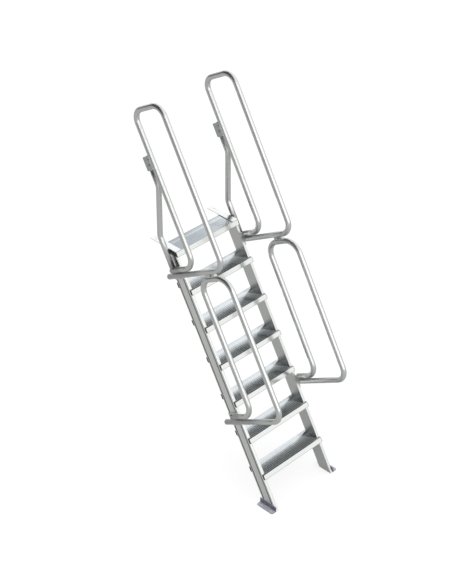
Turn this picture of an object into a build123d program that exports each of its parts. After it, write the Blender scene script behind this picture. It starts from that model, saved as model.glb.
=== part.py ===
"""Fixed aluminium stair at sixty degrees, with seven treads and two bent rail loops a side.

Millimetres, +Z up, +Y the way a person climbs, +X to the climber's right.
The origin is on the underside of the left foot bracket, in the middle of its flange.
On each side u runs up the slope and v stands square out of it, from the line where
the front faces of the stringers meet the floor.
"""
import os
from math import cos, radians, sin, tan

from build123d import *

# Driving dimensions of the flight
SLOPE = 60
RISE = 250
FIRST_RISE = 258
TREAD_COUNT = 7
CLEAR_WIDTH = 560

# Stringers: an extruded bar with two chambers and two grooves down its outer face
STRINGER_WIDTH = 24
STRINGER_DEPTH = 100
STRINGER_WALL = 3
FRONT_RADIUS = 8
REAR_RADIUS = 3
GROOVE_WIDTH = 4
GROOVE_DEPTH = 4
FRONT_GROOVE = 19
REAR_GROOVE = 3

# Treads: an extruded plank with a lip in front of the stringers and one behind them
TREAD_HEIGHT = 33
DECK_THICKNESS = 4
LIP_THICKNESS = 13
LIP_WALL = 2
LIP_BLUNT = 4
STIFFENER_THICKNESS = 2.5
STIFFENER_HEIGHT = 20
STIFFENER_PITCH = 44
RIB_PITCH = 7
RIB_WIDTH = 3
RIB_HEIGHT = 1.5
WIDE_RIB_WIDTH = 10
WIDE_RIB_FROM_BACK = 30
TREAD_CLEARANCE = 0.3
CAP_THICKNESS = 3

# Landing plates, on the ends of the top tread
LANDING_PLATE_WIDTH = 50
LANDING_PLATE_THICKNESS = 5
LANDING_PLATE_LENGTH = 265
LANDING_PLATE_CORNER = 6
LANDING_HOLE_RADIUS = 5.5
LANDING_HOLE_EDGE = 18
LANDING_HOLE_FROM_END = 45

# Foot brackets: an angle on the outer face of each stringer
FOOT_LENGTH = 155
FOOT_FLANGE = 44
FOOT_LEG = 44
FOOT_THICKNESS = 5
FOOT_BEND = 4
FOOT_CORNER = 14
FOOT_SETBACK = 2
FOOT_HOLE_RADIUS = 6.5
FOOT_HOLE_PITCH = 90

# Rail tubes
TUBE_RADIUS = 20
TUBE_WALL = 2
SEAT_GAP = 0.3
KNEE_RAIL_V = 192
HANDRAIL_V = 498
UPPER_TOP_BEND = 86
LOWER_TOP_BEND = 108
LOWER_BEND = 95
RETURN_PITCH = 41
OUTER_RETURN_END_V = -126
UPPER_INNER_END_V = -72
LOWER_INNER_END_V = -16
UPPER_TOP_U = 3050
UPPER_RETURN_U = 1865
LOWER_RETURN_U = 734
LOOP_PITCH = 54

# Mounting plates between the rail tubes and the stringers
MOUNT_THICKNESS = 8
MOUNT_WIDTH = 96
MOUNT_MARGIN = 15
MOUNT_CORNER = 6

# Struts, from the upper inner return to the back of the knee rail
STRUT_LOWER_RUN = 240
STRUT_UPPER_RUN = 221
STRUT_BEND = 70
STRUT_PITCH = 42

# Strut brackets and loop connectors
BRACKET_LENGTH = 100
BRACKET_THICKNESS = 4
CONNECTOR_WIDTH = 84
CONNECTOR_THICKNESS = 12

# Sizes that follow from the driving ones
ANGLE = radians(SLOPE)
OVERALL_WIDTH = CLEAR_WIDTH + 2 * STRINGER_WIDTH
LEFT_FACE_X = FOOT_FLANGE / 2
RIGHT_FACE_X = LEFT_FACE_X + OVERALL_WIDTH
CENTRE_X = (LEFT_FACE_X + RIGHT_FACE_X) / 2
FRONT_Y = -FOOT_LENGTH / 2 - FOOT_SETBACK
TOP_Z = FIRST_RISE + RISE * (TREAD_COUNT - 1)
LIP_FRONT_V = LIP_THICKNESS
LIP_BACK_V = -STRINGER_DEPTH - LIP_THICKNESS
TUBE_OFFSET = MOUNT_THICKNESS + SEAT_GAP + TUBE_RADIUS
TUBE_X = LEFT_FACE_X - TUBE_OFFSET
LOWER_TOP_U = UPPER_RETURN_U - LOOP_PITCH
CONNECTOR_V = (KNEE_RAIL_V + HANDRAIL_V) / 2
STRUT_V = -STRINGER_DEPTH / 2
STRUT_ALONG_V = KNEE_RAIL_V - STRUT_PITCH
STRUT_START_U = UPPER_RETURN_U + RETURN_PITCH + TUBE_RADIUS + SEAT_GAP
STRUT_LOW_BEND_U = STRUT_START_U + STRUT_LOWER_RUN
STRUT_HIGH_BEND_U = STRUT_LOW_BEND_U + (STRUT_ALONG_V - STRUT_V) * tan(ANGLE)
STRUT_TOP_U = STRUT_HIGH_BEND_U + STRUT_UPPER_RUN

os.makedirs("parts", exist_ok=True)


def side_plane(x):
    """Upright plane at x, its own x up the slope (u) and its own y out of it (v)."""
    return Plane(origin=(x, FRONT_Y, 0), x_dir=(0, cos(ANGLE), sin(ANGLE)), z_dir=(1, 0, 0))


def cross_plane(x, u):
    """Plane square to the slope at u, its own x along +X and its own y opposite to v."""
    along = side_plane(x)
    return Plane(origin=along.from_local_coords(Vector(u, 0, 0)), x_dir=(1, 0, 0), z_dir=along.x_dir)


def section_plane(x):
    """Upright plane at x, its own x along +Y and its own y up."""
    return Plane(origin=(x, 0, 0), x_dir=(0, 1, 0), z_dir=(1, 0, 0))


def slope_y(v, z):
    """Y of the line at v above the stringers' front faces, at height z."""
    return FRONT_Y + (z * cos(ANGLE) - v) / sin(ANGLE)


def slope_u(v, z):
    """Distance up the slope of the point at v and height z."""
    return (z - v * cos(ANGLE)) / sin(ANGLE)


def save(part, name):
    """Label a finished piece and write it to its own file."""
    part.label = name
    export_step(part, f"parts/{name}.step")


def mirrored(part):
    """The same piece on the other side of the flight."""
    return mirror(part, about=Plane.YZ.offset(CENTRE_X))


def save_pair(part, name):
    """Write a left piece and its mirror image."""
    save(part, f"{name}_left")
    save(mirrored(part), f"{name}_right")


def tread_top(number):
    """Height of a tread's walking surface."""
    return FIRST_RISE + RISE * (number - 1)


# Stringer: the left one, cut level at the floor and under the top tread
def make_stringer():
    face = STRINGER_WIDTH / 2
    top_z = tread_top(TREAD_COUNT) - TREAD_HEIGHT - TREAD_CLEARANCE
    reach = slope_u(-STRINGER_DEPTH, TOP_Z)
    chamber_width = STRINGER_WIDTH - GROOVE_DEPTH - 2 * STRINGER_WALL
    chamber_ends = [
        (STRINGER_WALL, FRONT_GROOVE),
        (FRONT_GROOVE + STRINGER_WALL, STRINGER_DEPTH - REAR_GROOVE),
    ]
    with BuildPart() as stringer:
        with BuildSketch(cross_plane(LEFT_FACE_X + face, 0)) as bar:
            with Locations((0, STRINGER_DEPTH / 2)):
                Rectangle(STRINGER_WIDTH, STRINGER_DEPTH)
            outer_corners = bar.vertices().group_by(Axis.X)[0].sort_by(Axis.Y)
            fillet(outer_corners[0], FRONT_RADIUS)
            fillet(outer_corners[-1], REAR_RADIUS)
            for back in (FRONT_GROOVE, STRINGER_DEPTH - REAR_GROOVE - GROOVE_WIDTH):
                with Locations((-face, back)):
                    Rectangle(GROOVE_DEPTH, GROOVE_WIDTH, align=Align.MIN, mode=Mode.SUBTRACT)
            for start, end in chamber_ends:
                with Locations((GROOVE_DEPTH / 2, (start + end) / 2)):
                    RectangleRounded(
                        chamber_width,
                        end - start - STRINGER_WALL,
                        STRINGER_WALL,
                        mode=Mode.SUBTRACT,
                    )
        extrude(amount=reach + STRINGER_DEPTH, both=True)
        split(bisect_by=Plane.XY, keep=Keep.TOP)
        split(bisect_by=Plane.XY.offset(top_z), keep=Keep.BOTTOM)
    return stringer.part


def band(v_out, v_in, low, high, mode=Mode.ADD):
    """Four-sided outline between two lines along the slope and two heights."""
    Polygon(
        (slope_y(v_out, low), low),
        (slope_y(v_in, low), low),
        (slope_y(v_in, high), high),
        (slope_y(v_out, high), high),
        align=None,
        mode=mode,
    )


def blunt_nose(low):
    """Cut the sharp lower corner of a front lip upright."""
    sharp_y = slope_y(LIP_FRONT_V, low)
    blunt_y = slope_y(LIP_FRONT_V, low + LIP_BLUNT)
    Polygon(
        (sharp_y, low),
        (blunt_y, low),
        (blunt_y, low + LIP_BLUNT),
        align=None,
        mode=Mode.SUBTRACT,
    )


# Tread: deck, two lips, stiffeners and ribs in one extrusion, notched round the stringers
def make_tread(number):
    top = tread_top(number)
    bottom = top - TREAD_HEIGHT
    deck_top = top - RIB_HEIGHT
    deck_bottom = deck_top - DECK_THICKNESS
    is_top = number == TREAD_COUNT
    length = OVERALL_WIDTH - 2 * CAP_THICKNESS
    front = slope_y(LIP_FRONT_V, deck_top)
    back = slope_y(LIP_BACK_V, deck_top)
    lip_inner_front = TREAD_CLEARANCE
    lip_inner_back = -STRINGER_DEPTH - TREAD_CLEARANCE

    with BuildPart() as tread:
        with BuildSketch(section_plane(CENTRE_X)):
            band(LIP_FRONT_V, LIP_BACK_V, deck_bottom, deck_top)
            band(LIP_FRONT_V, lip_inner_front, bottom, deck_top)
            band(lip_inner_back, LIP_BACK_V, bottom, deck_top)
            blunt_nose(bottom)
            band(
                LIP_FRONT_V - LIP_WALL,
                lip_inner_front + LIP_WALL,
                bottom + LIP_WALL,
                deck_bottom,
                Mode.SUBTRACT,
            )
            band(
                lip_inner_back - LIP_WALL,
                LIP_BACK_V + LIP_WALL,
                bottom + LIP_WALL,
                deck_bottom,
                Mode.SUBTRACT,
            )
            middle = (front + back) / 2
            for side in (-1, 1):
                with Locations(
                    (middle + side * STIFFENER_PITCH / 2, deck_bottom - STIFFENER_HEIGHT / 2)
                ):
                    Rectangle(STIFFENER_THICKNESS, STIFFENER_HEIGHT)
            rib_count = int((back - front - RIB_WIDTH) // RIB_PITCH) + 1
            with Locations((middle, deck_top + RIB_HEIGHT / 2)):
                with GridLocations(RIB_PITCH, 1, rib_count, 1):
                    Rectangle(RIB_WIDTH, RIB_HEIGHT)
            with Locations((back - WIDE_RIB_FROM_BACK, deck_top + RIB_HEIGHT / 2)):
                Rectangle(WIDE_RIB_WIDTH, RIB_HEIGHT)
        extrude(amount=length / 2, both=True)
        if not is_top:
            notch = STRINGER_WIDTH + TREAD_CLEARANCE
            for x in (LEFT_FACE_X, RIGHT_FACE_X):
                with BuildSketch(section_plane(x)):
                    band(lip_inner_front, lip_inner_back, bottom - DECK_THICKNESS, top + DECK_THICKNESS)
                extrude(amount=notch, both=True, mode=Mode.SUBTRACT)
    return tread.part


# End caps: thin plates that close the lips, and the whole end of the top tread
def make_caps():
    with BuildPart() as caps:
        for number in range(1, TREAD_COUNT + 1):
            top = tread_top(number) - RIB_HEIGHT
            bottom = tread_top(number) - TREAD_HEIGHT
            if number == TREAD_COUNT:
                bands = [(LIP_FRONT_V, LIP_BACK_V)]
            else:
                bands = [
                    (LIP_FRONT_V, TREAD_CLEARANCE),
                    (-STRINGER_DEPTH - TREAD_CLEARANCE, LIP_BACK_V),
                ]
            for v_out, v_in in bands:
                with BuildSketch(section_plane(LEFT_FACE_X)):
                    band(v_out, v_in, bottom, top)
                    blunt_nose(bottom)
                extrude(amount=CAP_THICKNESS)
    return caps.part


# Landing plate: flat on the ribs of the top tread, running back over the landing
def make_landing_plate():
    front = slope_y(LIP_FRONT_V, TOP_Z)
    with BuildPart() as plate:
        with BuildSketch(Plane.XY.offset(TOP_Z)) as outline:
            with Locations((LEFT_FACE_X, front)):
                Rectangle(LANDING_PLATE_WIDTH, LANDING_PLATE_LENGTH, align=(Align.MIN, Align.MIN))
            fillet(outline.vertices(), LANDING_PLATE_CORNER)
            hole_y = front + LANDING_PLATE_LENGTH - LANDING_HOLE_FROM_END
            with Locations((LEFT_FACE_X + LANDING_HOLE_EDGE, hole_y)):
                Circle(LANDING_HOLE_RADIUS, mode=Mode.SUBTRACT)
        extrude(amount=LANDING_PLATE_THICKNESS)
    return plate.part


# Foot bracket: a folded angle with two anchor holes in its flange
def make_foot():
    with BuildPart() as foot:
        with BuildSketch(Plane.XZ.offset(-FOOT_LENGTH / 2)) as angle:
            with Locations((LEFT_FACE_X, 0)):
                Rectangle(FOOT_FLANGE, FOOT_THICKNESS, align=(Align.MAX, Align.MIN))
                Rectangle(FOOT_THICKNESS, FOOT_LEG, align=(Align.MAX, Align.MIN))
            inner_corner = (LEFT_FACE_X - FOOT_THICKNESS, FOOT_THICKNESS)
            fillet(angle.vertices().sort_by_distance(inner_corner)[0], FOOT_BEND)
        extrude(amount=FOOT_LENGTH)
        fillet(foot.edges().filter_by(Axis.Z).group_by(Axis.X)[0], FOOT_CORNER)
        fillet(foot.edges().filter_by(Axis.X).group_by(Axis.Z)[-1].sort_by(Axis.Y)[0], FOOT_CORNER)
        with Locations(Plane.XY.offset(FOOT_THICKNESS)):
            with GridLocations(1, FOOT_HOLE_PITCH, 1, 2):
                Hole(FOOT_HOLE_RADIUS)
    return foot.part


# Rail tube: a round tube swept along a path of straight runs and bends
def make_tube(x, points, radii):
    with BuildPart() as tube:
        with BuildLine(side_plane(x)) as path:
            FilletPolyline(*points, radius=radii)
        start = Plane(path.line @ 0, z_dir=path.line % 0)
        with BuildSketch(start):
            Circle(TUBE_RADIUS)
            Circle(TUBE_RADIUS - TUBE_WALL, mode=Mode.SUBTRACT)
        sweep(path=path.line)
    return tube.part


# Rail loop: knee rail and handrail in one bent tube, with both ends turned to the stringer
def make_loop(return_u, top_u, inner_end_v, top_bend):
    inner_u = return_u + RETURN_PITCH
    points = [
        (inner_u, inner_end_v),
        (inner_u, KNEE_RAIL_V),
        (top_u, KNEE_RAIL_V),
        (top_u, HANDRAIL_V),
        (return_u, HANDRAIL_V),
        (return_u, OUTER_RETURN_END_V),
    ]
    radii = [LOWER_BEND, top_bend, top_bend, LOWER_BEND]
    return make_tube(TUBE_X, points, radii)


# Strut: up beside the stringer, plumb past the top tread, then along the knee rail
def make_strut():
    points = [
        (STRUT_START_U, STRUT_V),
        (STRUT_LOW_BEND_U, STRUT_V),
        (STRUT_HIGH_BEND_U, STRUT_ALONG_V),
        (STRUT_TOP_U, STRUT_ALONG_V),
    ]
    return make_tube(TUBE_X, points, [STRUT_BEND, STRUT_BEND])


# Mounting plate: a rounded plate on the stringer's outer face behind a loop's two returns
def make_mount(return_u):
    low_u = return_u - TUBE_RADIUS - MOUNT_MARGIN
    high_u = return_u + RETURN_PITCH + TUBE_RADIUS
    with BuildPart() as mount:
        with BuildSketch(side_plane(LEFT_FACE_X)):
            with Locations(((low_u + high_u) / 2, -STRINGER_DEPTH / 2)):
                RectangleRounded(high_u - low_u, MOUNT_WIDTH, MOUNT_CORNER)
        extrude(amount=-MOUNT_THICKNESS)
    return mount.part


# Strut bracket: a folded clip round the back of the strut, its cheeks reaching the knee rail
def make_strut_bracket():
    inner = TUBE_RADIUS + SEAT_GAP
    outer = inner + BRACKET_THICKNESS
    back_v = STRUT_ALONG_V - inner
    reach = KNEE_RAIL_V - back_v
    with BuildPart() as bracket:
        with BuildSketch(cross_plane(TUBE_X, STRUT_TOP_U - BRACKET_LENGTH)) as clip:
            with Locations((0, -KNEE_RAIL_V)):
                Rectangle(2 * outer, reach + BRACKET_THICKNESS, align=(Align.CENTER, Align.MIN))
                fillet(clip.vertices().group_by(Axis.Y)[-1], BRACKET_THICKNESS)
                Rectangle(2 * inner, reach, align=(Align.CENTER, Align.MIN), mode=Mode.SUBTRACT)
        extrude(amount=BRACKET_LENGTH)
    return bracket.part


# Loop connector: a saddle between the lower loop's top and the upper loop's outer return
def make_connector():
    gap = UPPER_RETURN_U - LOWER_TOP_U
    saddle = TUBE_RADIUS + SEAT_GAP
    with BuildPart() as connector:
        with BuildSketch(side_plane(TUBE_X)):
            with Locations((LOWER_TOP_U + gap / 2, CONNECTOR_V)):
                Rectangle(gap, CONNECTOR_WIDTH)
        extrude(amount=CONNECTOR_THICKNESS, both=True)
        for u in (LOWER_TOP_U, UPPER_RETURN_U):
            with BuildSketch(
                Plane(
                    side_plane(TUBE_X).from_local_coords(Vector(u, CONNECTOR_V, 0)),
                    z_dir=side_plane(0).y_dir,
                )
            ):
                Circle(saddle)
            extrude(amount=CONNECTOR_WIDTH, both=True, mode=Mode.SUBTRACT)
    return connector.part


stringer = make_stringer()
save(stringer, "left_stringer")
save(mirrored(stringer), "right_stringer")
for number in range(1, TREAD_COUNT + 1):
    save(make_tread(number), f"tread_{number}")
save_pair(make_caps(), "tread_caps")
save_pair(make_landing_plate(), "landing_plate")
save_pair(make_foot(), "foot_bracket")
upper_loop = make_loop(UPPER_RETURN_U, UPPER_TOP_U, UPPER_INNER_END_V, UPPER_TOP_BEND)
lower_loop = make_loop(LOWER_RETURN_U, LOWER_TOP_U, LOWER_INNER_END_V, LOWER_TOP_BEND)
save_pair(upper_loop, "upper_rail_loop")
save_pair(lower_loop, "lower_rail_loop")
save_pair(make_strut(), "rail_strut")
save_pair(make_mount(UPPER_RETURN_U), "upper_rail_mount")
save_pair(make_mount(LOWER_RETURN_U), "lower_rail_mount")
save_pair(make_strut_bracket(), "strut_bracket")
save_pair(make_connector(), "loop_connector")
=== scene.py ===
"""Finishes, rail tubes, bolt heads, floor, lamp and camera of the fixed aluminium stair."""
from math import cos, pi, radians, sin, tan

import bpy
from bpy.props import FloatProperty, FloatVectorProperty, IntProperty, PointerProperty
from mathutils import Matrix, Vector


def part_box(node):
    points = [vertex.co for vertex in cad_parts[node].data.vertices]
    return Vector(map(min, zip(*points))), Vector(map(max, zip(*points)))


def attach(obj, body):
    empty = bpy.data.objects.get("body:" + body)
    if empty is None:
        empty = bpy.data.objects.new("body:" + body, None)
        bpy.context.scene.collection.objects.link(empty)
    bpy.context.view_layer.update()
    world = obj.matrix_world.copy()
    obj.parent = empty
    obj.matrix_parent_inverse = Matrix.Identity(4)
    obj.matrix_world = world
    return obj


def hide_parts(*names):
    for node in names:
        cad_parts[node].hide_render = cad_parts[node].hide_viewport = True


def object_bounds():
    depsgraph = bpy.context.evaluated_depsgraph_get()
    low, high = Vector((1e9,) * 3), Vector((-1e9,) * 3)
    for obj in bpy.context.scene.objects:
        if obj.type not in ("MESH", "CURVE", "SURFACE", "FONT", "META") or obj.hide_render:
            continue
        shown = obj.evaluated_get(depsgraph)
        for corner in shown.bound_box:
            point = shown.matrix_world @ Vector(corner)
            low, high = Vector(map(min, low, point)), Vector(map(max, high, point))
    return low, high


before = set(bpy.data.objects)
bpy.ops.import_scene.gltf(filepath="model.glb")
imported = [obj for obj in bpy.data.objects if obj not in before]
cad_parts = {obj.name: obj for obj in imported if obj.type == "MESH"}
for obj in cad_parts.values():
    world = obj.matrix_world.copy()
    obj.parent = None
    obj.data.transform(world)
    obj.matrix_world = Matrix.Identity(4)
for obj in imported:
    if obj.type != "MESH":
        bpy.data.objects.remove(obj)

bl_info = {
    "name": "Fixed aluminium stair",
    "version": (1, 0, 0),
    "blender": (4, 5, 0),
    "location": "View3D > Sidebar > Stair",
    "description": "Finishes, rail tubes, bolt heads and a small studio for a steep stair",
    "category": "Object",
}

PHOTO_WIDTH = 452
PHOTO_HEIGHT = 584
CAD_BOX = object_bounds()

# the part's frame: up the slope, square out of it, across, and level behind the slope
SLOPE = radians(60)
ALONG = Vector((0, cos(SLOPE), sin(SLOPE)))
OUT = Vector((0, -sin(SLOPE), cos(SLOPE)))
ACROSS = Vector((1, 0, 0))
BEHIND = Vector((0, 1, -1 / tan(SLOPE)))

BODY = "root"
SIDES = {"left": -1, "right": 1}
BOTH_WAYS = (-1, 1)
TREAD_COUNT = 7
TUBE_NODES = ("upper_rail_loop", "lower_rail_loop", "rail_strut")
FOOT_THICKNESS = 0.005

# stretch of the fine lines that a die leaves, and of the cloud that varies the treads' painted
# groove shade
STRINGER_LINES = (420, 6, 420)
TREAD_LINES = (5, 500, 500)
TREAD_CLOUD = (3, 30, 30)

# how far up a face looks where it counts as a top or an underside
TOP_FACE = 0.8
# a face that looks further down than this takes the treads' painted underside shade
SHADED_UNDERSIDE = -0.2
# a stringer face's look outwards times its distance from the middle, under which it is inner
# and takes painted shade
SHADED_INNER_FACE = -0.1

# how dark the painted shade is beside the metal, in the stringers' lines and the treads' grooves,
# and a tread's left end beside its right one
STRINGER_LINE_SHADE = 0.10
TREAD_GROOVE_SHADE = 0.12
LEFT_END = 0.98
# how metallic a foot bracket's flange still is where its upward face is painted light
LIT_FLANGE_METALLIC = 0.2

# how much rougher each finish is than the aluminium's own roughness
ROUGHER = {
    "stringer": 0.04,
    "tread": -0.14,
    "top_tread": -0.08,
    "tube": 0.04,
    "plate": 0.05,
    "clip": 0.08,
    "landing_plate": -0.1,
    "bracket": 0.12,
}

# bolts of a strut bracket, as distances up and out of the slope from its middle
STRUT_BOLTS = ((0.028, 0.022), (-0.011, 0.008))
# sides of a head and a washer, and a bolt's round top beside the head's width and height
HEAD_SIDES = 6
WASHER_SIDES = 24
ROUND_TOP_RADIUS = 0.46
ROUND_TOP_HEIGHT = 0.12

SCREEN_EDGE = radians(6)
SENSOR_WIDTH = 36
CLIP_END = 200


def node_centre(name):
    """Middle of a CAD node's box."""
    low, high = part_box(name)
    return (low + high) / 2


LEFT_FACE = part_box("left_stringer")[0].x
RIGHT_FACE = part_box("right_stringer")[1].x
SLOPE_START = Vector((0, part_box("left_stringer")[0].y, 0))
MIDDLE = Vector((
    (LEFT_FACE + RIGHT_FACE) / 2,
    (CAD_BOX[0][1] + CAD_BOX[1][1]) / 2,
    (CAD_BOX[0][2] + CAD_BOX[1][2]) / 2,
))


# ---- shader maths ----

# a Mix node's sockets for colours, which share their names with those for numbers
MIX_FACTOR, MIX_FIRST, MIX_SECOND, MIX_RESULT = 0, 6, 7, 2


class Sock:
    """A shader value that can be written in an expression."""

    def __init__(self, tree, link):
        self.tree = tree
        self.link = link

    def _math(self, operation, *values):
        return self.tree.node(
            "ShaderNodeMath", {"operation": operation}, dict(enumerate(values))
        )

    def __add__(self, other):
        return self._math("ADD", self, other)

    def __radd__(self, other):
        return self._math("ADD", other, self)

    def __sub__(self, other):
        return self._math("SUBTRACT", self, other)

    def __rsub__(self, other):
        return self._math("SUBTRACT", other, self)

    def __mul__(self, other):
        return self._math("MULTIPLY", self, other)

    def __rmul__(self, other):
        return self._math("MULTIPLY", other, self)

    def __abs__(self):
        return self._math("ABSOLUTE", self)

    def below(self, other):
        """1 where this is under the other."""
        return self._math("LESS_THAN", self, other)

    def above(self, other):
        """1 where this is over the other."""
        return self._math("GREATER_THAN", self, other)

    def cosine(self):
        """Cosine of this, in radians."""
        return self._math("COSINE", self)


def shade(colour, by):
    """A colour times a number."""
    return tuple(channel * by for channel in colour[:3])


def spread(level, value, by):
    """A level that a value from 0 to 1 moves by as much to either side."""
    return level - by + value * (2 * by)


class ShaderTree:
    """Builds the nodes of one material, or of the world."""

    def __init__(self, name, block=None):
        self.block = block or bpy.data.materials.new(name)
        self.block.use_nodes = True
        self.nodes = self.block.node_tree.nodes
        self.links = self.block.node_tree.links
        self.nodes.clear()

    def node(self, kind, settings=None, inputs=None, output=0):
        """Add a node: its settings first, then values or links on its sockets."""
        made = self.nodes.new(kind)
        for key, value in (settings or {}).items():
            setattr(made, key, value)
        for key, value in (inputs or {}).items():
            if isinstance(value, Sock):
                self.links.new(value.link, made.inputs[key])
            else:
                made.inputs[key].default_value = value
        return Sock(self, made.outputs[output]) if made.outputs else None

    def place(self):
        """Plain object coordinates."""
        return self.node("ShaderNodeTexCoord", output="Object")

    def stretched(self, scale, turn=(0, 0, 0)):
        """Object coordinates, turned and stretched."""
        return self.node(
            "ShaderNodeMapping", {}, {"Vector": self.place(), "Rotation": turn, "Scale": scale}
        )

    def normal(self):
        """The way that a face looks."""
        return self.node("ShaderNodeNewGeometry", output="Normal")

    def upright(self):
        """How far a face looks up, from -1 to 1."""
        return self.node("ShaderNodeSeparateXYZ", {}, {"Vector": self.normal()}, output="Z")

    def rays(self):
        """1 on camera rays, 1 on glossy rays and 1 on transmission rays."""
        kinds = ("Is Camera Ray", "Is Glossy Ray", "Is Transmission Ray")
        return [self.node("ShaderNodeLightPath", output=kind) for kind in kinds]

    def along(self, place, way):
        """How far a place lies along a fixed direction."""
        return self.node(
            "ShaderNodeVectorMath",
            {"operation": "DOT_PRODUCT"},
            {0: place, 1: way},
            output="Value",
        )

    def noise(self, vector, scale=1, detail=2):
        """Grey noise from 0 to 1."""
        return self.node(
            "ShaderNodeTexNoise",
            {"noise_dimensions": "3D"},
            {"Vector": vector, "Scale": scale, "Detail": detail},
            output="Fac",
        )

    def ramp(self, value, start, end, top=1.0):
        """A soft step from 0 at the start to the top level at the end."""
        return self.node(
            "ShaderNodeMapRange",
            {"interpolation_type": "SMOOTHSTEP"},
            {"Value": value, "From Min": start, "From Max": end, "To Max": top},
        )

    def mix(self, factor, low, high):
        """A colour between two others, each a link or a plain colour."""
        first, second = (
            value if isinstance(value, Sock) else (*value, 1) for value in (low, high)
        )
        return self.node(
            "ShaderNodeMix",
            {"data_type": "RGBA"},
            {MIX_FACTOR: factor, MIX_FIRST: first, MIX_SECOND: second},
            output=MIX_RESULT,
        )

    def tones(self, factor, colour, darkest, lightest):
        """A colour that varies between two shades of itself."""
        return self.mix(factor, shade(colour, darkest), shade(colour, lightest))

    def bump(self, height, strength, distance):
        """A normal from a height."""
        return self.node(
            "ShaderNodeBump",
            {},
            {"Height": height, "Strength": strength, "Distance": distance},
            output="Normal",
        )

    def close(self, shader, end="ShaderNodeOutputMaterial"):
        """End the tree with a shader and return the material or the world."""
        self.node(end, {}, {"Surface": shader})
        return self.block

    def finish(self, **sockets):
        """End the tree with a Principled shader that has these sockets set."""
        named = {key.replace("_", " "): value for key, value in sockets.items()}
        return self.close(self.node("ShaderNodeBsdfPrincipled", {}, named))


# ---- finishes ----

def extruded_metal(name, colour, roughness, grooves):
    """Mill-finished stringer: lines up the slope, painted shade on its inner faces and painted
    shade lines along its outer grooves.
    """
    tree = ShaderTree(name)
    place = tree.place()
    lines = tree.noise(tree.stretched(STRINGER_LINES, turn=(-SLOPE, 0, 0)), detail=3)
    cloud = tree.noise(place, scale=9)
    grain = lines * 0.6 + cloud * 0.4
    outer = tree.tones(grain, colour, 0.94, 1.06)
    # painted shade: inner faces take a darker copy of the metal than the outer ones
    inner = tree.tones(grain, colour, 0.76, 0.86)
    facing = tree.along(tree.normal(), ACROSS) * (tree.along(place, ACROSS) - MIDDLE.x)
    metal = tree.mix(facing.below(SHADED_INNER_FACE), outer, inner)
    # painted shade: two dark lines along each stringer's outer face, where shade falls at its
    # grooves
    back = tree.along(place, -OUT) + SLOPE_START.dot(OUT)
    outside = facing.above(grooves.outer_from)
    front_line = abs(back - grooves.front_shade_line).below(grooves.shade_line_half)
    rear_line = abs(back - grooves.rear_shade_line).below(grooves.shade_line_half)
    line_shade = (front_line + rear_line) * outside * (0.75 + cloud * 0.25)
    return tree.finish(
        Base_Color=tree.mix(line_shade, metal, shade(colour, STRINGER_LINE_SHADE)),
        Metallic=1.0,
        Roughness=spread(roughness, lines, 0.04),
        Normal=tree.bump(lines, strength=0.12, distance=0.00012),
    )


def tread_metal(name, ends, look, marks, roughness, front_shade, contrast, fade):
    """Ribbed tread: painted shade on its front and in its grooves, plain lips and a painted-shade
    underside.

    The ends are the colours at the left and the right. Front shade is how bright the front
    stays under its painted shade, contrast how dark the painted shade in the grooves is, and
    fade how much of that it loses at the back.
    """
    tree = ShaderTree(name)
    place = tree.place()
    left, right = ends
    lines = tree.noise(tree.stretched(TREAD_LINES), detail=3)
    cloud = tree.noise(tree.stretched(TREAD_CLOUD))
    depth = tree.along(place, BEHIND) - marks.rib_middle
    wave = (depth * (2 * pi / marks.rib_pitch)).cosine()
    # painted shade: the front of a tread is darker than its rear, blending over the front shade
    # depth
    bright = tree.ramp(depth, -marks.front_shade_depth, marks.front_shade_depth)
    wide_rib = abs(depth - marks.wide_rib).below(marks.wide_rib_half)
    # painted shade in the grooves: a dark stripe each rib pitch, weaker at the back and none on
    # the wide rib
    darkness = contrast * (0.85 + cloud * 0.15)
    groove = (0.5 - wave * 0.5) * (1 - bright * fade) * (1 - wide_rib) * darkness
    across = tree.ramp(tree.along(place, ACROSS), LEFT_FACE, RIGHT_FACE) * 0.9 + lines * 0.1
    # the darker copy is the front's painted shade
    unshaded = tree.mix(across, left, right)
    shaded = tree.mix(across, shade(left, front_shade), shade(right, front_shade))
    ribs = tree.mix(bright, shaded, unshaded)
    # the grooves take the darkest colour, which is painted shade
    top = tree.mix(groove, ribs, shade(left, front_shade * TREAD_GROOVE_SHADE))
    lips = tree.tones(lines, look.lip_colour, 0.97, 1.03)
    upright = tree.upright()
    tone = tree.mix(upright.above(TOP_FACE), lips, top)
    # painted shade: faces looking down take the darker underside colour
    return tree.finish(
        Base_Color=tree.mix(upright.below(SHADED_UNDERSIDE), tone, look.shaded_underside_colour),
        Metallic=1.0,
        Roughness=spread(roughness, lines, 0.04),
        Normal=tree.bump(lines, strength=0.12, distance=0.00012),
    )


def drawn_tube(name, colour, roughness):
    """Satin drawn tube with a fine, even grain."""
    tree = ShaderTree(name)
    grain = tree.noise(tree.place(), scale=900)
    cloud = tree.noise(tree.place(), scale=14, detail=3)
    return tree.finish(
        Base_Color=tree.tones(cloud * 0.7 + grain * 0.3, colour, 0.96, 1.03),
        Metallic=1.0,
        Roughness=spread(roughness, cloud, 0.03),
        Normal=tree.bump(grain, strength=0.05, distance=0.00003),
    )


def rolled_plate(name, colour, roughness):
    """Rolled plate with a cloudy, slightly pitted skin."""
    tree = ShaderTree(name)
    pits = tree.noise(tree.place(), scale=320, detail=3)
    cloud = tree.noise(tree.place(), scale=22, detail=3)
    return tree.finish(
        Base_Color=tree.tones(cloud, colour, 0.92, 1.05),
        Metallic=1.0,
        Roughness=spread(roughness, cloud, 0.05),
        Normal=tree.bump(pits, strength=0.15, distance=0.00015),
    )


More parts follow.
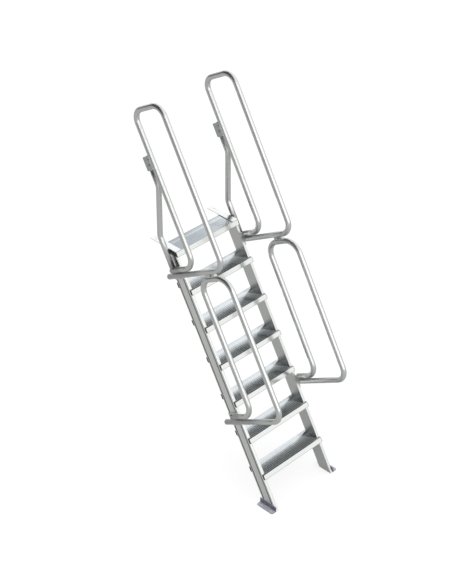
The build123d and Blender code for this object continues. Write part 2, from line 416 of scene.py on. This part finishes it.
def pressed_angle(name, colour, lit_flange_colour, roughness):
    """Foot bracket with a dark, scaly leg and a flange whose upward face is painted light:
    lighter and less metallic.
    """
    tree = ShaderTree(name)
    pits = tree.noise(tree.place(), scale=320, detail=3)
    cloud = tree.noise(tree.place(), scale=40, detail=3)
    # painted light: faces looking up take the lighter, less metallic flange colour
    flat = tree.upright().above(TOP_FACE)
    leg = tree.tones(cloud, colour, 0.88, 1.08)
    flange = tree.tones(cloud, lit_flange_colour, 0.95, 1.04)
    return tree.finish(
        Base_Color=tree.mix(flat, leg, flange),
        Metallic=1 - flat * (1 - LIT_FLANGE_METALLIC),
        Roughness=spread(roughness, cloud, 0.05),
        Normal=tree.bump(pits, strength=0.15, distance=0.00015),
    )


def moulded_plastic(name, colour, roughness):
    """Black moulded plastic with a fine spark grain."""
    tree = ShaderTree(name)
    grain = tree.noise(tree.place(), scale=1400)
    cloud = tree.noise(tree.place(), scale=60)
    return tree.finish(
        Base_Color=tree.tones(cloud, colour, 0.85, 1.2),
        Roughness=spread(roughness, grain, 0.06),
        Normal=tree.bump(grain, strength=0.3, distance=0.0002),
    )


def zinc_steel(name, colour, roughness):
    """Zinc-plated steel of the bolts."""
    tree = ShaderTree(name)
    cloud = tree.noise(tree.place(), scale=180, detail=3)
    return tree.finish(
        Base_Color=tree.tones(cloud, colour, 0.88, 1.08),
        Metallic=1.0,
        Roughness=spread(roughness, cloud, 0.05),
        Normal=tree.bump(cloud, strength=0.1, distance=0.0003),
    )


# ---- what a user may change ----

def colour_property(name, description, default):
    """A linear colour with sliders."""
    return FloatVectorProperty(
        name=name, description=description, default=default, subtype="COLOR", size=3, min=0, max=1
    )


def share_property(name, description, default, least=0):
    """A share of up to 1."""
    return FloatProperty(
        name=name, description=description, default=default, min=least, max=1, subtype="FACTOR"
    )


def length_property(name, description, default):
    """A length in metres."""
    return FloatProperty(
        name=name, description=description, default=default, min=0, unit="LENGTH", precision=4
    )


def place_property(name, description, default):
    """A place in metres, which may be behind the line that it is counted from."""
    return FloatProperty(name=name, description=description, default=default, unit="LENGTH")


def angle_property(name, description, degrees):
    """An angle, given in degrees."""
    return FloatProperty(
        name=name, description=description, default=radians(degrees), subtype="ANGLE"
    )


def level_property(name, description, default):
    """A brightness, where 1 is white."""
    return FloatProperty(name=name, description=description, default=default, min=0)


class StairFinishes(bpy.types.PropertyGroup):
    """Colours and roughness of the stair's metals and plastic."""

    stringer_colour: colour_property(
        "Stringer", "Colour of the stringer extrusions", (0.90, 0.92, 0.90)
    )
    tread_colour: colour_property(
        "Tread", "Colour of the treads' polished tops", (0.91, 0.955, 1.0)
    )
    # painted shade: the top tread darkens towards its left end
    shaded_landing_colour: colour_property(
        "Top tread", "Colour of the top tread's left end", (0.585, 0.645, 0.71)
    )
    lip_colour: colour_property(
        "Tread lip", "Colour of the treads' front and rear lips", (0.86, 0.88, 0.85)
    )
    # the treads' undersides are darkened with painted shade
    shaded_underside_colour: colour_property(
        "Underside", "Colour of the treads' dull undersides", (0.42, 0.43, 0.44)
    )
    tube_colour: colour_property("Tube", "Colour of the rail tubes", (0.785, 0.80, 0.785))
    landing_plate_colour: colour_property(
        "Landing plate", "Colour of the landing plates", (0.97, 0.98, 0.99)
    )
    plate_colour: colour_property(
        "Plate", "Colour of the mounting plates and connectors", (0.76, 0.77, 0.78)
    )
    clip_colour: colour_property(
        "Strut bracket", "Colour of the brackets on the struts", (0.58, 0.60, 0.59)
    )
    bracket_colour: colour_property(
        "Foot bracket", "Colour of the foot brackets' legs", (0.34, 0.33, 0.38)
    )
    # painted light on the foot brackets' upward flange faces
    lit_flange_colour: colour_property(
        "Foot flange", "Colour of the foot brackets' flanges", (0.60, 0.60, 0.70)
    )
    cap_colour: colour_property(
        "End cap", "Colour of the moulded end caps", (0.030, 0.042, 0.036)
    )
    steel_colour: colour_property("Bolt", "Colour of the bolts", (0.58, 0.58, 0.56))
    # painted shade on the treads' fronts
    front_shade_level: share_property(
        "Scuffed front", "How bright the scuffed front of a tread stays", 0.66
    )
    metal_roughness: share_property(
        "Metal roughness", "Roughness of the aluminium", 0.30, least=0.05
    )
    cap_roughness: share_property("Cap roughness", "Roughness of the moulded end caps", 0.55)
    steel_roughness: share_property("Bolt roughness", "Roughness of the bolts", 0.35)


class StairMarks(bpy.types.PropertyGroup):
    """Ribs, painted groove shade and painted front shade of the treads, and painted shade lines
    along the stringers' grooves.
    """

    rib_pitch: length_property("Rib pitch", "Distance between dull grooves", 0.014)
    rib_middle: place_property(
        "Rib middle", "Middle rib's place behind the slope through the origin", -0.0218
    )
    # the treads' dark groove stripes are painted shade; these set how dark they are and how they
    # fade
    rib_contrast: share_property("Groove dullness", "How dull the grooves are", 1.0)
    rib_fade: share_property("Groove fade", "How much the grooves lose at the back", 0.8)
    landing_contrast: share_property(
        "Top tread's grooves", "How dull the top tread's grooves are beside the others", 0.55
    )
    wide_rib: length_property(
        "Wide rib", "Wide plain rib's place behind the tread's middle", 0.0315
    )
    wide_rib_half: length_property(
        "Wide rib half width", "Half the width of the wide plain rib", 0.0060
    )
    # the treads' painted front shade fades into the rear over this depth
    front_shade_depth: length_property(
        "Scuff depth", "Half the depth over which the scuffed front fades", 0.040
    )
    outer_from: length_property(
        "Outer faces", "Distance from the middle where outer faces begin", 0.290
    )
    # places and half width of the stringers' painted shade lines
    front_shade_line: length_property(
        "Front groove", "Front groove's distance behind the front", 0.0175
    )
    rear_shade_line: length_property(
        "Rear groove", "Rear groove's distance behind the front", 0.0860
    )
    shade_line_half: length_property(
        "Groove half width", "Half the width of a dark groove line", 0.0050
    )


class StairRails(bpy.types.PropertyGroup):
    """Routes of the rail tubes and struts: u runs up the slope, v stands square out of it."""

    tube_radius: length_property("Tube radius", "Outer radius of every tube", 0.020)
    tube_wall: length_property("Tube wall", "Wall thickness of every tube", 0.002)
    knee_v: length_property(
        "Knee rail", "Height of the knee rail over the stringers' fronts", 0.192
    )
    hand_v: length_property(
        "Handrail", "Height of the handrail over the stringers' fronts", 0.498
    )
    outer_end_v: place_property("Outer return end", "Where an outer return ends", -0.126)
    upper_inner_v: place_property(
        "Upper inner end", "Where the upper inner return ends", -0.072
    )
    lower_inner_v: place_property(
        "Lower inner end", "Where the lower inner return ends", -0.016
    )
    upper_top_u: length_property("Upper loop top", "Top of the upper loop", 3.050)
    upper_return_u: length_property(
        "Upper loop foot", "Outer return of the upper loop", 1.865
    )
    lower_top_u: length_property("Lower loop top", "Top of the lower loop", 1.811)
    lower_return_u: length_property(
        "Lower loop foot", "Outer return of the lower loop", 0.734
    )
    return_pitch: length_property(
        "Return pitch", "Distance between a loop's two returns", 0.041
    )
    upper_top_bend: length_property(
        "Upper top bend", "Bend radius at the upper loop's top", 0.086
    )
    lower_top_bend: length_property(
        "Lower top bend", "Bend radius at the lower loop's top", 0.108
    )
    lower_bend: length_property("Lower bend", "Bend radius at a loop's foot", 0.095)
    strut_v: place_property("Strut line", "Line of the strut beside the stringer", -0.050)
    strut_pitch: length_property(
        "Strut pitch", "Distance from the strut's top to the knee rail", 0.042
    )
    strut_gap: length_property(
        "Strut gap", "Gap between the strut's foot and the return", 0.0003
    )
    strut_lower_run: length_property(
        "Strut lower run", "Straight run beside the stringer", 0.240
    )
    strut_upper_run: length_property("Strut upper run", "Run along the knee rail", 0.221)
    strut_bend: length_property(
        "Strut bend", "Centre-line radius of the strut's bends", 0.070
    )
    around: IntProperty(
        name="Sides", description="Faces round a tube", default=40, min=8, max=128
    )
    bend_steps: IntProperty(
        name="Bend steps", description="Rings in each bend", default=20, min=4, max=64
    )


class StairFasteners(bpy.types.PropertyGroup):
    """Sizes and places of the bolts."""

    bolt_across: length_property(
        "Bolt head", "Width of a hexagon head across its flats", 0.011
    )
    bolt_height: length_property("Head height", "Height of a hexagon head", 0.0045)
    washer_radius: length_property("Washer radius", "Outer radius of a washer", 0.0075)
    washer_height: length_property("Washer thickness", "Thickness of a washer", 0.0014)
    plate_bolt_up: length_property(
        "Plate bolts up", "How far up the slope from a plate's middle its bolts lie", 0.028
    )
    plate_bolt_back: length_property(
        "Plate bolts back", "How far behind a plate's middle its rear bolt lies", 0.026
    )
    plate_bolt_pitch: length_property(
        "Plate bolt pitch", "Distance between a plate's bolts", 0.026
    )
    foot_bolt_height: length_property(
        "Foot bolts", "Height of the bolts in a foot bracket's leg", 0.026
    )
    foot_bolt_spread: length_property(
        "Foot bolt spread", "Half the distance between foot bolts", 0.024
    )


class StairStudio(bpy.types.PropertyGroup):
    """Camera, lamp, floor and sky."""

    azimuth: angle_property("Azimuth", "Camera's turn round the stair from its front", -45.04)
    elevation: angle_property("Elevation", "Camera's height above the level", 34.71)
    distance: length_property("Distance", "Camera's distance from its target", 11.4079)
    target: FloatVectorProperty(
        name="Target",
        description="Point that the camera looks at",
        default=(0.3110, 0.7202, 1.3852),
        subtype="TRANSLATION",
        size=3,
    )
    focal_pixels: FloatProperty(
        name="Focal length in pixels",
        description="Focal length on an image 452 by 584 pixels large",
        default=1612.66,
        min=100,
    )
    floor_size: length_property("Floor size", "Width of the floor", 80)
    floor_colour: colour_property("Floor", "Colour of the floor", (0.42, 0.42, 0.42))
    floor_glow: level_property(
        "Floor glow", "Brightness that the camera sees on the floor beyond the light on it", 0.69
    )
    floor_mirrored: share_property(
        "Mirrored floor", "Share of the floor's glow that metal and glass show", 0.16
    )
    sky_level: level_property("Sky level", "Brightness of the light from all round", 0.85)
    screen_direction: FloatVectorProperty(
        name="Screen direction",
        description="Way from the stair to the dark screen",
        default=(-0.75, 0.45, 0.48),
        subtype="DIRECTION",
        size=3,
    )
    screen_angle: angle_property("Screen size", "Half the angle that the screen fills", 62)
    screen_level: level_property("Screen level", "Brightness of the dark screen", 0.05)
    key_power: FloatProperty(
        name="Key lamp",
        description="Power of the large front lamp",
        default=75,
        min=0,
        unit="POWER",
    )
    key_size: length_property("Key lamp size", "Width and height of the front lamp", 4)
    key_place: FloatVectorProperty(
        name="Key lamp place",
        description="Place of the front lamp from the stair's middle",
        default=(-0.4, -6.6, 2.2),
        subtype="TRANSLATION",
        size=3,
    )


# ---- tubes and bolts, made with geometry nodes ----

class GeometryTree:
    """Builds one geometry node group with named inputs."""

    def __init__(self, name):
        self.group = bpy.data.node_groups.new(name, "GeometryNodeTree")
        for way in ("INPUT", "OUTPUT"):
            self.socket("Geometry", "NodeSocketGeometry", way)
        self.source = self.group.nodes.new("NodeGroupInput")
        self.inputs = {}

    def socket(self, name, kind, way="INPUT"):
        """A named socket of the group."""
        return self.group.interface.new_socket(name, in_out=way, socket_type=kind)

    def number(self, name):
        """A named length that the modifier sets."""
        item = self.socket(name, "NodeSocketFloat")
        item.subtype = "DISTANCE"
        self.inputs[name] = item.identifier
        return self.source.outputs[name]

    def count(self, name):
        """A named whole number that the modifier sets."""
        self.inputs[name] = self.socket(name, "NodeSocketInt").identifier
        return self.source.outputs[name]

    def node(self, kind, settings=None, inputs=None):
        """Add a node: its settings first, then values or links on its sockets."""
        made = self.group.nodes.new(kind)
        for key, value in (settings or {}).items():
            setattr(made, key, value)
        for key, value in (inputs or {}).items():
            if isinstance(value, bpy.types.NodeSocket):
                self.group.links.new(value, made.inputs[key])
            else:
                made.inputs[key].default_value = value
        return made

    def maths(self, operation, *values):
        """The result of a Math node on these values."""
        made = self.node("ShaderNodeMath", {"operation": operation}, dict(enumerate(values)))
        return made.outputs[0]

    def attribute(self, name, kind):
        """A named attribute of the points."""
        made = self.node("GeometryNodeInputNamedAttribute", {"data_type": kind}, {"Name": name})
        return made.outputs["Attribute"]

    def close(self, geometry, material):
        """Realize the copies, give them their material and end the tree."""
        real = self.node("GeometryNodeRealizeInstances", {}, {"Geometry": geometry})
        painted = self.node(
            "GeometryNodeSetMaterial",
            {},
            {"Geometry": real.outputs["Geometry"], "Material": material},
        )
        self.node("NodeGroupOutput", {}, {"Geometry": painted.outputs["Geometry"]})
        return self


def cylinder(tree, sides, radius, depth, lift):
    """A capped prism that stands on the point, lifted off it."""
    prism = tree.node(
        "GeometryNodeMeshCylinder",
        {"fill_type": "NGON"},
        {"Vertices": sides, "Radius": radius, "Depth": depth},
    )
    middle = tree.maths("MULTIPLY_ADD", depth, 0.5, lift)
    offset = tree.node("ShaderNodeCombineXYZ", {}, {"Z": middle})
    moved = tree.node(
        "GeometryNodeTransform",
        {},
        {"Geometry": prism.outputs["Mesh"], "Translation": offset.outputs[0]},
    )
    return moved.outputs["Geometry"]


def bolt_tree(material):
    """A washer, a hexagon head and its low round top, on each point and along its axis."""
    tree = GeometryTree("bolt_heads")
    across = tree.number("Across flats")
    height = tree.number("Head height")
    washer_radius = tree.number("Washer radius")
    washer_height = tree.number("Washer thickness")
    corner = tree.maths("MULTIPLY", across, 0.5 / cos(pi / HEAD_SIDES))
    top_radius = tree.maths("MULTIPLY", across, ROUND_TOP_RADIUS)
    top_height = tree.maths("MULTIPLY", height, ROUND_TOP_HEIGHT)
    top_lift = tree.maths("ADD", washer_height, height)
    washer = cylinder(tree, WASHER_SIDES, washer_radius, washer_height, 0.0)
    head = cylinder(tree, HEAD_SIDES, corner, height, washer_height)
    cap = cylinder(tree, WASHER_SIDES, top_radius, top_height, top_lift)
    bolt = tree.node("GeometryNodeJoinGeometry")
    for part in (cap, head, washer):
        tree.group.links.new(part, bolt.inputs["Geometry"])
    turn = tree.node(
        "FunctionNodeAlignRotationToVector",
        {"axis": "Z"},
        {"Vector": tree.attribute("axis", "FLOAT_VECTOR")},
    )
    placed = tree.node(
        "GeometryNodeInstanceOnPoints",
        {},
        {
            "Points": tree.source.outputs["Geometry"],
            "Instance": bolt.outputs["Geometry"],
            "Rotation": turn.outputs["Rotation"],
        },
    )
    return tree.close(placed.outputs["Instances"], material)


def tube_tree(material):
    """A round tube along a chain of edges, with each corner rounded by its own radius."""
    tree = GeometryTree("bent_tube")
    radius = tree.number("Radius")
    sides = tree.count("Sides")
    steps = tree.count("Bend steps")
    line = tree.node("GeometryNodeMeshToCurve", {}, {"Mesh": tree.source.outputs["Geometry"]})
    rounded = tree.node(
        "GeometryNodeFilletCurve",
        {"mode": "POLY"},
        {
            "Curve": line.outputs["Curve"],
            "Count": steps,
            "Radius": tree.attribute("bend", "FLOAT"),
        },
    )
    ring = tree.node(
        "GeometryNodeCurvePrimitiveCircle", {}, {"Resolution": sides, "Radius": radius}
    )
    skin = tree.node(
        "GeometryNodeCurveToMesh",
        {},
        {"Curve": rounded.outputs["Curve"], "Profile Curve": ring.outputs["Curve"]},
    )
    smooth = tree.node("GeometryNodeSetShadeSmooth", {}, {"Geometry": skin.outputs["Mesh"]})
    return tree.close(smooth.outputs["Geometry"], material)


def add_object(name, data):
    """A new object in the scene."""
    made = bpy.data.objects.new(name, data)
    bpy.context.collection.objects.link(made)
    return made


def point_cloud(name, places):
    """A mesh of loose points, each with the axis that its bolt stands along."""
    mesh = bpy.data.meshes.new(name)
    mesh.from_pydata([place for place, _ in places], [], [])
    axis = mesh.attributes.new("axis", "FLOAT_VECTOR", "POINT")
    for index, (_, direction) in enumerate(places):
        axis.data[index].vector = direction
    return add_object(name, mesh)


def route_object(name, x, route):
    """A chain of edges through a route's corners, in the side plane at x."""
    corners = [SLOPE_START + u * ALONG + v * OUT + x * ACROSS for u, v, _ in route]
    mesh = bpy.data.meshes.new(name)
    mesh.from_pydata(corners, [(i, i + 1) for i in range(len(corners) - 1)], [])
    bend = mesh.attributes.new("bend", "FLOAT", "POINT")
    for index, (_, _, radius) in enumerate(route):
        bend.data[index].value = radius
    return add_object(name, mesh)


def grow(start, tree, values, wall=0.0):
    """Run a node tree on an object, give it a wall inwards and keep the plain mesh."""
    modifier = start.modifiers.new("grow", "NODES")
    modifier.node_group = tree.group
    for name, value in values.items():
        modifier[tree.inputs[name]] = value
    if wall:
        shell = start.modifiers.new("wall", "SOLIDIFY")
        shell.thickness = wall
        shell.offset = -1
    bpy.context.view_layer.update()
    evaluated = start.evaluated_get(bpy.context.evaluated_depsgraph_get())
    mesh = bpy.data.meshes.new_from_object(evaluated)
    start.modifiers.clear()
    start.data = mesh
    return start


def loop_route(rails, return_u, top_u, inner_v, top_bend):
    """Corners of a rail loop as (u, v, bend)."""
    inner_u = return_u + rails.return_pitch
    return [
        (inner_u, inner_v, 0.0),
        (inner_u, rails.knee_v, rails.lower_bend),
        (top_u, rails.knee_v, top_bend),
        (top_u, rails.hand_v, top_bend),
        (return_u, rails.hand_v, rails.lower_bend),
        (return_u, rails.outer_end_v, 0.0),
    ]


def strut_route(rails):
    """Corners of a strut as (u, v, bend)."""
    along_v = rails.knee_v - rails.strut_pitch
    start_u = rails.upper_return_u + rails.return_pitch + rails.tube_radius + rails.strut_gap
    low_u = start_u + rails.strut_lower_run
    high_u = low_u + (along_v - rails.strut_v) * tan(SLOPE)
    return [
        (start_u, rails.strut_v, 0.0),
        (low_u, rails.strut_v, rails.strut_bend),
        (high_u, along_v, rails.strut_bend),
        (high_u + rails.strut_upper_run, along_v, 0.0),
    ]


def side_bolts(name, ways, spots):
    """Bolts on a CAD node's side faces, at distances up and out of the slope from its middle."""
    low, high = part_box(name)
    places = []
    for up, out in spots:
        for way in ways:
            place = node_centre(name) + up * ALONG + out * OUT
            place.x = low.x if way < 0 else high.x
            places.append((place, (way, 0, 0)))
    return places


def mount_bolts(sizes):
    """Bolts through each mounting plate into the stringer."""
    up, rear = sizes.plate_bolt_up, -sizes.plate_bolt_back
    spots = ((up, rear), (up, rear + sizes.plate_bolt_pitch))
    places = []
    for level in ("upper", "lower"):
        for side, sign in SIDES.items():
            places += side_bolts(f"{level}_rail_mount_{side}", (sign,), spots)
    return places


def clamp_bolts(prefix, spots):
    """Bolts right through the strut bracket or the loop connector of each side."""
    places = []
    for side in SIDES:
        places += side_bolts(f"{prefix}_{side}", BOTH_WAYS, spots)
    return places


def foot_bolts(sizes):
    """Bolts through each foot bracket's leg into the stringer."""
    faces = {"left": LEFT_FACE, "right": RIGHT_FACE}
    places = []
    for side, sign in SIDES.items():
        face = faces[side] + sign * FOOT_THICKNESS
        for way in BOTH_WAYS:
            place = Vector((face, way * sizes.foot_bolt_spread, sizes.foot_bolt_height))
            places.append((place, (sign, 0, 0)))
    return places


def add_piece(piece):
    """Let a finished piece ride with the stair."""
    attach(piece, BODY)


def paint(node, material):
    """Give a CAD node one material."""
    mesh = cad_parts[node].data
    mesh.materials.clear()
    mesh.materials.append(material)


# ---- operators ----

class PaintStair(bpy.types.Operator):
    """Give every CAD piece its finish, apart from the tubes."""

    bl_idname = "stair.paint"
    bl_label = "Paint the stair"

    def execute(self, context):
        look = context.scene.stair_finishes
        marks = context.scene.stair_marks
        rough = {name: look.metal_roughness + step for name, step in ROUGHER.items()}
        stringer = extruded_metal(
            "mill_stringer", look.stringer_colour, rough["stringer"], marks
        )
        tread = tread_metal(
            "ribbed_tread",
            (shade(look.tread_colour, LEFT_END), look.tread_colour),
            look, marks, rough["tread"],
            front_shade=look.front_shade_level,
            contrast=marks.rib_contrast,
            fade=marks.rib_fade,
        )
        # the top tread runs from a left end darkened with painted shade to the plain tread colour
        # at its right
        top_tread = tread_metal(
            "landing_tread",
            (look.shaded_landing_colour, look.tread_colour),
            look, marks, rough["top_tread"],
            front_shade=1.0,
            contrast=marks.rib_contrast * marks.landing_contrast,
            fade=0.0,
        )
        plate = rolled_plate("rolled_plate", look.plate_colour, rough["plate"])
        clip = rolled_plate("bent_clip", look.clip_colour, rough["clip"])
        landing_plate = rolled_plate(
            "landing_plate", look.landing_plate_colour, rough["landing_plate"]
        )
        bracket = pressed_angle(
            "pressed_bracket", look.bracket_colour, look.lit_flange_colour, rough["bracket"]
        )
        cap = moulded_plastic("moulded_cap", look.cap_colour, look.cap_roughness)
        finishes = {
            "left_stringer": stringer,
            "right_stringer": stringer,
            "tread_caps": cap,
            "tread": tread,
            f"tread_{TREAD_COUNT}": top_tread,
            "landing_plate": landing_plate,
            "foot_bracket": bracket,
            "strut_bracket": clip,
        }
        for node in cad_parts:
            if node.startswith(TUBE_NODES):
                continue
            fits = [prefix for prefix in finishes if node.startswith(prefix)]
            paint(node, finishes[max(fits, key=len)] if fits else plate)
        return {"FINISHED"}


class BuildTubes(bpy.types.Operator):
    """Build the smooth rail tubes and struts over their CAD solids."""

    bl_idname = "stair.build_tubes"
    bl_label = "Build the tubes"

    def execute(self, context):
        rails = context.scene.stair_rails
        look = context.scene.stair_finishes
        metal = drawn_tube(
            "satin_tube", look.tube_colour, look.metal_roughness + ROUGHER["tube"]
        )
        tree = tube_tree(metal)
        routes = {
            "upper_rail_loop": loop_route(
                rails, rails.upper_return_u, rails.upper_top_u, rails.upper_inner_v,
                rails.upper_top_bend,
            ),
            "lower_rail_loop": loop_route(
                rails, rails.lower_return_u, rails.lower_top_u, rails.lower_inner_v,
                rails.lower_top_bend,
            ),
            "rail_strut": strut_route(rails),
        }
        for prefix, route in routes.items():
            for side in SIDES:
                node = f"{prefix}_{side}"
                made = route_object(f"{node}_tube", node_centre(node).x, route)
                grow(made, tree, {
                    "Radius": rails.tube_radius,
                    "Sides": rails.around,
                    "Bend steps": rails.bend_steps,
                }, wall=rails.tube_wall)
                add_piece(made)
                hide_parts(node)
        return {"FINISHED"}


class AddBolts(bpy.types.Operator):
    """Put hexagon bolts with washers on the plates, connectors and brackets."""

    bl_idname = "stair.add_bolts"
    bl_label = "Add the bolts"

    def execute(self, context):
        sizes = context.scene.stair_fasteners
        look = context.scene.stair_finishes
        steel = zinc_steel("zinc_bolt", look.steel_colour, look.steel_roughness)
        places = (
            mount_bolts(sizes)
            + clamp_bolts("strut_bracket", STRUT_BOLTS)
            + clamp_bolts("loop_connector", ((0, 0),))
            + foot_bolts(sizes)
        )
        points = point_cloud("bolt_heads", places)
        made = grow(points, bolt_tree(steel), {
            "Across flats": sizes.bolt_across,
            "Head height": sizes.bolt_height,
            "Washer radius": sizes.washer_radius,
            "Washer thickness": sizes.washer_height,
        })
        add_piece(made)
        return {"FINISHED"}


class BuildStudio(bpy.types.Operator):
    """Build the floor, the sky, the lamp and the camera."""

    bl_idname = "stair.build_studio"
    bl_label = "Build the studio"

    def execute(self, context):
        studio = context.scene.stair_studio
        self.add_floor(studio)
        self.light_sky(context.scene, studio)
        self.add_lamp(studio)
        self.add_camera(context.scene, studio)
        context.scene.view_settings.view_transform = "Standard"
        return {"FINISHED"}

    @staticmethod
    def add_floor(studio):
        """A plain pale floor that looks white to the camera and keeps the stair's shadow."""
        half = studio.floor_size / 2
        mesh = bpy.data.meshes.new("floor")
        corners = [(-half, -half, 0), (half, -half, 0), (half, half, 0), (-half, half, 0)]
        mesh.from_pydata(corners, [], [(0, 1, 2, 3)])
        tree = ShaderTree("pale_floor")
        cloud = tree.noise(tree.place(), scale=2)
        camera_ray, glossy_ray, clear_ray = tree.rays()
        seen = camera_ray + (glossy_ray + clear_ray) * studio.floor_mirrored
        diffuse = tree.node(
            "ShaderNodeBsdfDiffuse",
            {},
            {"Color": tree.tones(cloud, studio.floor_colour, 0.99, 1.01)},
        )
        glow = tree.node("ShaderNodeEmission", {}, {"Strength": seen * studio.floor_glow})
        both = tree.node("ShaderNodeAddShader", {}, {0: diffuse, 1: glow})
        mesh.materials.append(tree.close(both))
        floor = add_object("floor", mesh)

    @staticmethod
    def light_sky(scene, studio):
        """Even light, white behind the stair, with a dark screen that only metal mirrors."""
        tree = ShaderTree("sky", bpy.data.worlds.new("sky"))
        camera_ray, glossy_ray, clear_ray = tree.rays()
        way = tree.node("ShaderNodeTexCoord", output="Generated")
        screen = tree.ramp(
            tree.along(way, Vector(studio.screen_direction).normalized()),
            cos(studio.screen_angle + SCREEN_EDGE),
            cos(studio.screen_angle - SCREEN_EDGE),
            top=1 - studio.screen_level,
        )
        mirrored = glossy_ray * (1 - screen)
        plain = (1 - camera_ray) * (1 - glossy_ray) * (1 - clear_ray)
        level = camera_ray + mirrored + clear_ray + plain * studio.sky_level
        sky = tree.node("ShaderNodeBackground", {}, {"Color": (1, 1, 1, 1), "Strength": level})
        scene.world = tree.close(sky, "ShaderNodeOutputWorld")

    @staticmethod
    def add_lamp(studio):
        """One large square lamp in front of the stair, above it and slightly to its left."""
        lamp = bpy.data.lights.new("key_lamp", "AREA")
        lamp.shape = "RECTANGLE"
        lamp.size = studio.key_size
        lamp.size_y = studio.key_size
        lamp.energy = studio.key_power
        place = MIDDLE + Vector(studio.key_place)
        made = add_object("key_lamp", lamp)
        made.location = place
        made.rotation_euler = (MIDDLE - place).to_track_quat("-Z", "Y").to_euler()

    @staticmethod
    def add_camera(scene, studio):
        """The photograph's viewpoint."""
        turn, rise = studio.azimuth, studio.elevation
        back = Vector((sin(turn) * cos(rise), -cos(turn) * cos(rise), sin(rise)))
        camera = bpy.data.cameras.new("camera")
        camera.sensor_width = SENSOR_WIDTH
        camera.lens = studio.focal_pixels * SENSOR_WIDTH / max(PHOTO_WIDTH, PHOTO_HEIGHT)
        camera.clip_end = CLIP_END
        made = add_object("camera", camera)
        made.location = Vector(studio.target) + studio.distance * back
        made.rotation_euler = back.to_track_quat("Z", "Y").to_euler()
        scene.camera = made


class StairPanel(bpy.types.Panel):
    """Lists the stair's operators and sizes."""

    bl_idname = "VIEW3D_PT_stair"
    bl_label = "Aluminium stair"
    bl_space_type = "VIEW_3D"
    bl_region_type = "UI"
    bl_category = "Stair"

    def draw(self, context):
        column = self.layout.column()
        for step in STEPS:
            column.operator(step.bl_idname)
        for group in GROUPS:
            settings = getattr(context.scene, group)
            for key in settings.bl_rna.properties.keys():
                if key not in {"rna_type", "name"}:
                    column.prop(settings, key)


STEPS = (PaintStair, BuildTubes, AddBolts, BuildStudio)
GROUPS = {
    "stair_finishes": StairFinishes,
    "stair_marks": StairMarks,
    "stair_rails": StairRails,
    "stair_fasteners": StairFasteners,
    "stair_studio": StairStudio,
}
CLASSES = (*GROUPS.values(), *STEPS, StairPanel)


def register():
    """Add the classes and the scene's settings."""
    for item in CLASSES:
        bpy.utils.register_class(item)
    for name, group in GROUPS.items():
        setattr(bpy.types.Scene, name, PointerProperty(type=group))


def unregister():
    """Remove the scene's settings and the classes."""
    for name in GROUPS:
        delattr(bpy.types.Scene, name)
    for item in reversed(CLASSES):
        bpy.utils.unregister_class(item)


def main():
    """Build the looks round the CAD model."""
    register()
    bpy.ops.stair.paint()
    bpy.ops.stair.build_tubes()
    bpy.ops.stair.add_bolts()
    bpy.ops.stair.build_studio()
    bpy.context.view_layer.update()


if __name__ == "__main__":
    main()
